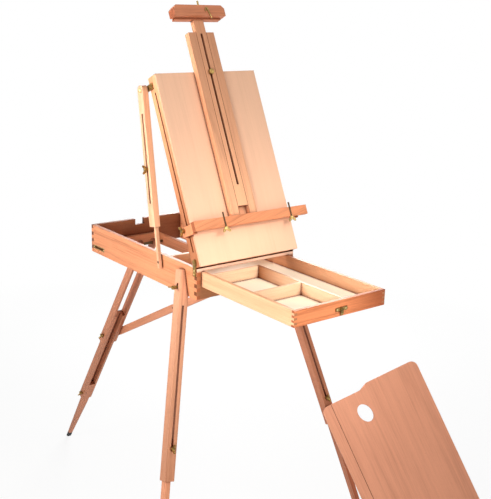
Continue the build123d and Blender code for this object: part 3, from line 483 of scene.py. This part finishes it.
# Boards of one tone: colour, grain, contrast and the nodes that are cut from the wood
wooden = {
    "case_cross": (frame_beech, along_x, 1.5, ("leg_stop_block",)),
    "case_long": (case_beech, along_y, 2.0, ("side_wall_left", "side_wall_right", "channel_rails")),
    "lid_cross": (rail_beech, along_x, 1.2, ("lid_cross_rails",)),
    "clamp": (clamp_beech, along_x, 2.0, ("clamp_lower_bar", "clamp_upper_bar")),
    "ledge": (ledge_beech, ledge_run, 2.2, ("ledge_bar",)),
    "ledge_block": (ledge_beech, lid_up, 1.2, ("ledge_end_blocks",)),
    "drawer_left": (drawer_beech, along_y, 1.0, ("drawer_side_left",)),
    "drawer_cross": (
        divider_beech,
        along_x,
        0.9,
        ("drawer_rear", "drawer_partition", "drawer_cross_divider"),
    ),
    "stays": (
        stay_beech,
        stay_up,
        0.9,
        ("stay_bar_left", "stay_bar_right", "stay_channel_left", "stay_channel_right"),
    ),
    "leg_left": (leg_beech, leg_down["left"], 2.0, ("front_leg_lower_left",)),
    # The right leg's darker wood is painted shade
    "leg_right": (
        shaded_right_leg_beech,
        leg_down["right"],
        2.0,
        ("front_leg_upper_right", "front_leg_lower_right"),
    ),
    "rear_leg": (
        rear_leg_beech,
        rear_down,
        2.0,
        ("rear_leg_rails", "rear_leg_middle", "rear_leg_foot"),
    ),
    "strut": (leg_beech, strut_run, 1.2, ("strut_upper", "strut_lower")),
}
dressed = {}
for kind, (colour, grain, contrast, members) in wooden.items():
    material = wood(f"wood_{kind}", colour, grain, contrast)
    for name in members:
        dressed[name] = material

# The rear wall lies deep in the case, so its painted shade reaches from further off
wall_shade_reach = 0.25
dressed["rear_wall"] = wood("wood_rear_wall", shaded_rear_beech, along_x, contrast=1.5, reach=wall_shade_reach)

# Boards darkened with painted shade along a direction, and how far each of them is
frame_dark = 0.78
rail_dark = 0.6
divider_dark = 0.82
mast_dark = 0.28
front_dark = 0.58
side_dark = 0.6
leg_dark = 0.35

# Painted shade on the front frame, darker from just under its top
front_low, front_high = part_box("front_frame")
under_top = (0.004, 0.012)
frame_fade = [depth - front_high.z for depth in under_top]
dressed["front_frame"] = wood(
    "wood_front_frame",
    rail_top_beech,
    along_x,
    contrast=1.2,
    shade_fade=(-along_z, *frame_fade, frame_dark),
)

# Painted shade on the lid's long rails, darker towards their foot over the middle of their length
rail_shares = (0.2, 0.75)
rail_top, rail_foot = span("lid_side_rails", -lid_up)
rail_fade = [rail_top + (rail_foot - rail_top) * share for share in rail_shares]
dressed["lid_side_rails"] = wood(
    "wood_lid_long",
    rail_beech,
    lid_up,
    contrast=1.2,
    shade_fade=(-lid_up, *rail_fade, rail_dark),
)

# Painted shade on the drawer's long divider, darker towards its rear behind the cross divider
cross_rear = span("drawer_cross_divider", along_y)[1]
divider_rear = span("drawer_long_divider", along_y)[1]
dressed["drawer_long_divider"] = wood(
    "wood_divider",
    divider_beech,
    along_y,
    contrast=0.9,
    shade_fade=(along_y, cross_rear, divider_rear, divider_dark),
)

# Painted shade on the mast and its slat, darker up the mast, with a painted shadow line in the gap
# on either side of the slat
slat_low, slat_high = span("slat", along_x)
slat_edges = ((slat_low + slat_high) / 2, (slat_high - slat_low) / 2)
mast_shade_fade = (lid_up, *span("mast_channel", lid_up), mast_dark)
dressed["slat"] = wood("wood_slat", slat_beech, lid_up, contrast=1.2, shade_fade=mast_shade_fade)
dressed["mast_channel"] = wood(
    "wood_mast",
    mast_beech,
    lid_up,
    contrast=1.2,
    gap_shade_at=slat_edges,
    shade_fade=mast_shade_fade,
)

# Painted shade on the drawer's front, darker from its middle to the right, and on its right side,
# darker up to the case
front_share = 0.85
front_right = span("drawer_front", along_x)[1]
dressed["drawer_front"] = wood(
    "wood_drawer_face",
    front_beech,
    along_x,
    contrast=2.6,
    shade_fade=(along_x, 0, front_right * front_share, front_dark),
)
side_front = span("drawer_side_right", along_y)[0]
side_shade_fade = (along_y, side_front, front_low.y, side_dark)
dressed["drawer_side_right"] = wood("wood_drawer_right", drawer_beech, along_y, shade_fade=side_shade_fade)

# Painted shade on the left leg's upper part, darker from top to bottom
left_down = leg_down["left"]
dressed["front_leg_upper_left"] = wood(
    "wood_leg_top",
    leg_top_beech,
    left_down,
    contrast=2.0,
    shade_fade=(left_down, *span("front_leg_upper_left", left_down), leg_dark),
)

# Plywood and veneer
dressed["lid_panel"] = wood(
    "veneer_lid",
    lid_veneer,
    lid_up,
    contrast=0.28,
    fleck=0.30,
    end_shade=0.6,
    rough=0.5,
    plies=lid_out,
)
dressed["drawer_bottom"] = wood(
    "veneer_drawer",
    floor_veneer,
    along_y,
    contrast=0.25,
    fleck=0.15,
    end_shade=0.7,
    rough=0.55,
)
dressed["palette"] = wood(
    "veneer_palette",
    palette_wood,
    longest_edge("palette"),
    contrast=0.8,
    fleck=0.6,
    end_shade=0.6,
    rough=0.42,
    plies=broad_normal("palette"),
)

# Metal and rubber; every node not named so far is brass
for name in ("hinge_pins", "strut_bolts", "stay_screws"):
    dressed[name] = dark_pin
wing_height = 0.014
wing_end = span("ledge_pins", lid_up)[0] + wing_height
wing_tip = (lid_up, wing_end, wing_brass)
dressed["ledge_pins"] = metal("ledge_pin", pin_bronze, rough=0.40, worn=0.45, tip=wing_tip)
dressed["rear_leg_tip"] = black_rubber
for name, node in nodes.items():
    node.data.materials.clear()
    node.data.materials.append(dressed.get(name, brass))

# Small brass fittings: the mesh of a screw head, and its dome, rim and slot as shares
head_rows = 7
head_columns = 12
dome_fall = 0.86
rim_share = 0.995
slot_margin = 1.2
slot_floor = 0.25
merge_distance = 1e-7


def link_mesh(name, mesh, body):
    """A new piece of polished brass that rides on a body."""
    piece = bpy.data.objects.new(name, mesh)
    scene.collection.objects.link(piece)
    mesh.materials.append(polished_brass)
    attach(piece, body)


def slotted_head(name, body, spot, outward, slot_way, radius, height, slot_width):
    """A domed screw head with a driver slot, standing on a surface."""
    mesh = bpy.data.meshes.new(name)
    surface = bmesh.new()
    rise = outward.normalized()
    across = slot_way.normalized()
    run = rise.cross(across)
    half = slot_width / 2
    beside = [radius * cos(pi / 2 * step / head_rows) for step in range(head_rows)]
    beside = [x for x in beside if x > half * slot_margin]
    rows = [(-x, False) for x in beside] + [(-half, False), (-half, True)]
    rows += [(half, True), (half, False)] + [(x, False) for x in reversed(beside)]
    grid = []
    for x, sunk in rows:
        reach = sqrt(max(radius**2 - x**2, 0.0))
        line = []
        for index in range(head_columns + 1):
            y = -reach * cos(pi * index / head_columns)
            share = min(1.0, (x * x + y * y) / radius**2)
            if sunk:
                level = height * slot_floor
            elif share > rim_share:
                level = 0.0
            else:
                level = height * sqrt(1 - dome_fall * share)
            line.append(surface.verts.new(spot + run * x + across * y + rise * level))
        grid.append(line)
    for low, high in zip(grid, grid[1:]):
        for index in range(head_columns):
            surface.faces.new((low[index], low[index + 1], high[index + 1], high[index]))
    bmesh.ops.remove_doubles(surface, verts=surface.verts, dist=merge_distance)
    bmesh.ops.recalc_face_normals(surface, faces=surface.faces)
    surface.to_mesh(mesh)
    surface.free()
    link_mesh(name, mesh, body)


def turned(name, body, spot, outward, profile, segments=32):
    """A turned piece: a profile of radii and heights spun round the outward direction."""
    mesh = bpy.data.meshes.new(name)
    surface = bmesh.new()
    rise = outward.normalized()
    side = rise.orthogonal().normalized()
    other = rise.cross(side)
    rings = []
    for radius, height in profile:
        if radius == 0:
            rings.append([surface.verts.new(spot + rise * height)])
            continue
        ring = []
        for index in range(segments):
            angle = 2 * pi * index / segments
            way = side * cos(angle) + other * sin(angle)
            ring.append(surface.verts.new(spot + way * radius + rise * height))
        rings.append(ring)
    for low, high in zip(rings, rings[1:]):
        for index in range(segments):
            after = (index + 1) % segments
            corners = [low[index % len(low)], low[after % len(low)]]
            corners += [high[after % len(high)], high[index % len(high)]]
            surface.faces.new(list(dict.fromkeys(corners)))
    bmesh.ops.recalc_face_normals(surface, faces=surface.faces)
    surface.to_mesh(mesh)
    surface.free()
    for face in mesh.polygons:
        face.use_smooth = True
    link_mesh(name, mesh, body)


# Bolts through the top of the lid stays
bolt_inset = 0.013
bolt_shank = 0.0025
bolt_end = 0.001
bolt_head = 0.0055
bolt_rim_height = 0.0012
bolt_shoulder = bolt_head * 0.75
bolt_shoulder_height = 0.0027
bolt_top_height = 0.0033
for side, sign in (("left", -1), ("right", 1)):
    low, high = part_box(f"stay_channel_{side}")
    outer = high.x if sign > 0 else low.x
    far_end = low.x - high.x - bolt_end
    profile = (
        (0, far_end),
        (bolt_shank, far_end),
        (bolt_shank, 0.0),
        (bolt_head, 0.0),
        (bolt_head, bolt_rim_height),
        (bolt_shoulder, bolt_shoulder_height),
        (0, bolt_top_height),
    )
    spot = Vector((outer, high.y, high.z)) - Vector((0, bolt_inset, bolt_inset))
    turned(f"stay_top_bolt_{side}", f"stay_channel_{side}", spot, Vector((sign, 0, 0)), profile)

# Screws of the latch, pivot and strap plates, flush where a piece turns over them
flush_head = 0.0002
proud_head = 0.001
fine_slot = 0.0006
latch_slot = 0.0008
latch_radius = 0.0028
latch_offset = 0.0135
latch_plate_thickness = 0.002
pivot_radius = 0.0024
pivot_inset = 0.006
pivot_rises = (0.005, 0.0145)
strap_radius = 0.0022
strap_inset = 0.003

low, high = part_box("latch_plate")
plate_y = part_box("drawer_front")[0].y - latch_plate_thickness
slot_way = Vector((1, 0, 1))
for sign in (-1, 1):
    name = f"latch_screw_{sign + 1}"
    spot = Vector((sign * latch_offset, plate_y, (low.z + high.z) / 2))
    slotted_head(name, "drawer", spot, -along_y, slot_way, latch_radius, flush_head, latch_slot)

low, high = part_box("lid_pivot_plates")
slot_way = Vector((0, 1, 1))
for sign, wall in ((-1, low.x), (1, high.x)):
    outward = Vector((sign, 0, 0))
    for index, rise in enumerate(pivot_rises):
        name = f"pivot_screw_{sign + 1}_{index}"
        spot = Vector((wall, low.y + pivot_inset, low.z + rise))
        slotted_head(name, "case", spot, outward, slot_way, pivot_radius, proud_head, fine_slot)

low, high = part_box("strap_slot_plate")
for index, y in enumerate((low.y + strap_inset, high.y - strap_inset)):
    name = f"strap_screw_{index}"
    spot = Vector((low.x, y, (low.z + high.z) / 2))
    slotted_head(name, "case", spot, -along_x, slot_way, strap_radius, flush_head, fine_slot)

# Floor and background, white where the camera sees them
floor_radius = 30
floor_gap = 0.0002
floor_grey = (0.86, 0.86, 0.86, 1)
shadow_radius = 1.3
white_radius = 2.6
shadow_glow = 0.88
fill_level = 0.04


def seen_share(tree):
    """One for rays that the camera sees, straight or mirrored, and nothing for other light."""
    path = add(tree, "ShaderNodeLightPath")
    seen = compute(tree, "ADD", path.outputs["Is Camera Ray"], path.outputs["Is Glossy Ray"])
    seen = compute(tree, "ADD", seen, path.outputs["Is Transmission Ray"])
    return compute(tree, "MINIMUM", seen, 1.0)


def stage_material(name):
    """A pale floor that glows for the camera.

    It keeps the shadow near the easel and is plain white far off.
    """
    material, tree = new_material(name)
    seen = seen_share(tree)
    coords = add(tree, "ShaderNodeTexCoord").outputs["Object"]
    away = add(tree, "ShaderNodeVectorMath", {0: coords}, operation="LENGTH").outputs["Value"]
    share = remap(tree, away, (shadow_radius, white_radius), (shadow_glow, 1.0))
    matt = add(tree, "ShaderNodeBsdfDiffuse", {"Color": floor_grey})
    glow = add(tree, "ShaderNodeEmission", {"Color": white, "Strength": 1.0})
    factor = compute(tree, "MULTIPLY", seen, share)
    mix = add(tree, "ShaderNodeMixShader", {0: factor, 1: matt.outputs[0], 2: glow.outputs[0]})
    add(tree, "ShaderNodeOutputMaterial", {"Surface": mix.outputs[0]})
    return material


floor_mesh = bpy.data.meshes.new("floor")
ground = bmesh.new()
bmesh.ops.create_circle(ground, cap_ends=True, radius=floor_radius, segments=96)
ground.to_mesh(floor_mesh)
ground.free()
floor = bpy.data.objects.new("floor", floor_mesh)
middle = (cad_box[0] + cad_box[1]) / 2
floor.location = (middle.x, middle.y, cad_box[0].z - floor_gap)
scene.collection.objects.link(floor)
floor_mesh.materials.append(stage_material("pale_floor"))

world = bpy.data.worlds.new("studio")
scene.world = world
world.use_nodes = True
tree = world.node_tree
tree.nodes.clear()
level = remap(tree, seen_share(tree), result=(fill_level, 1.0))
sky = add(tree, "ShaderNodeBackground", {"Color": white, "Strength": level})
add(tree, "ShaderNodeOutputWorld", {"Surface": sky.outputs[0]})

# Soft lamps, aimed at the front of the case, the drawer and the top of the lid
case_front = Vector((0, front_low.y, front_high.z))
tray_low, tray_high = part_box("drawer_bottom")
tray = (tray_low + tray_high) / 2
lid_top = Vector((0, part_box("lid_panel")[1].y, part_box("lid_panel")[1].z))


def soft_lamp(name, target, away, size, power, spread=180):
    """A square area lamp aimed at a target; a small spread in degrees keeps its light together."""
    lamp = bpy.data.lights.new(name, "AREA")
    lamp.size = size
    lamp.energy = power
    lamp.spread = radians(spread)
    holder = bpy.data.objects.new(name, lamp)
    holder.location = target + away
    holder.rotation_euler = (-away).to_track_quat("-Z", "Y").to_euler()
    scene.collection.objects.link(holder)


soft_lamp("main", case_front, Vector((-1.15, -1.01, 0.10)), size=0.9, power=22)
soft_lamp("top", case_front, Vector((0.30, -0.86, 1.56)), size=1.2, power=10)
soft_lamp("tray", tray, Vector((0.00, -1.05, 0.80)), size=0.4, power=0.85, spread=44)
soft_lamp("left", case_front, Vector((-2.20, 0.54, 0.46)), size=1.0, power=22)
soft_lamp("left_high", lid_top, Vector((-2.10, 0.30, 0.25)), size=0.8, power=4, spread=50)
soft_lamp("right", case_front, Vector((2.00, -1.16, 0.96)), size=0.7, power=5)
soft_lamp("rear", case_front, Vector((1.70, 2.10, 0.50)), size=1.2, power=70)

# The photograph's camera, found from the case's edges
sensor_width = 36
focal_length = 64.94
camera_offset = Vector((-1.3876, -1.7500, 0.7299))
camera_yaw = radians(38.29)
camera_pitch = radians(15.56)
camera_roll = radians(-1.60)
ahead = Vector(
    (
        sin(camera_yaw) * cos(camera_pitch),
        cos(camera_yaw) * cos(camera_pitch),
        -sin(camera_pitch),
    )
)
level_right = Vector((cos(camera_yaw), -sin(camera_yaw), 0))
level_down = ahead.cross(level_right)
right = level_right * cos(camera_roll) + level_down * sin(camera_roll)
down = level_down * cos(camera_roll) - level_right * sin(camera_roll)
lens = bpy.data.cameras.new("camera")
lens.sensor_width = sensor_width
lens.lens = focal_length
camera = bpy.data.objects.new("camera", lens)
camera_spot = Vector((0, front_low.y, front_low.z)) + camera_offset
camera_turn = Matrix((right, -down, -ahead)).transposed().to_4x4()
camera.matrix_world = Matrix.Translation(camera_spot) @ camera_turn
scene.collection.objects.link(camera)
scene.camera = camera
scene.view_settings.view_transform = "Standard"
